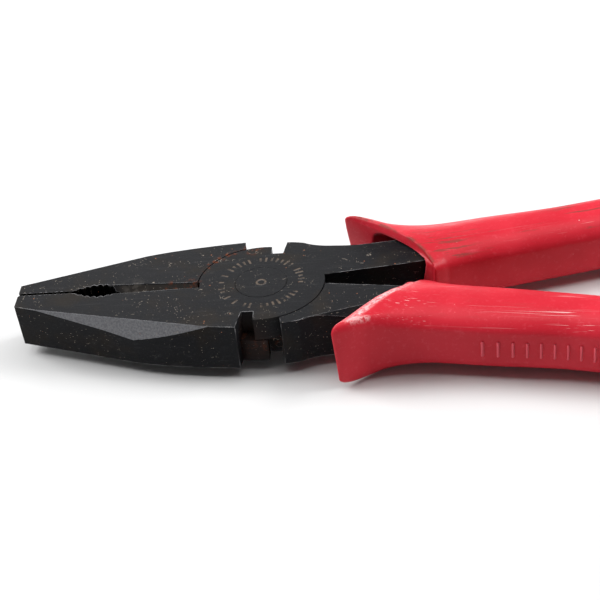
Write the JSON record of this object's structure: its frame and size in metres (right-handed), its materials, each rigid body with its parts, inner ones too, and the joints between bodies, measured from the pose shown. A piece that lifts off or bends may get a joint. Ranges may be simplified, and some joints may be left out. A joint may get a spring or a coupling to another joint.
{
  "type": "lineman pliers",
  "caption": "Combination pliers with toothed jaws, side cutter and joint cutters at a half-lap joint, and red sleeved handles with thumb guards.",
  "frame": {"origin": "pivot axis at the joint's back face", "axes": "+X from the jaws to the handles, +Y towards the front lever's handle, +Z out of the joint's front face"},
  "size_m": [0.2091, 0.0602, 0.014],
  "materials": {
    "lever_steel": "black phosphated forging, ground faces",
    "rivet_steel": "black phosphated, ground flush",
    "grip_plastic": "moulded red sleeve, semi-gloss"
  },
  "bodies": {
    "front_half": {"front_lever": "lever_steel", "pivot_rivet": "rivet_steel", "front_grip": "grip_plastic"},
    "back_half": {"back_lever": "lever_steel", "back_grip": "grip_plastic"}
  },
  "joints": [
    {"name": "pivot", "type": "hinge", "parent": "front_half", "child": "back_half", "pos_m": [0, 0, 0], "axis": [0, 0, -1], "range_deg": [0, 32]}
  ]
}
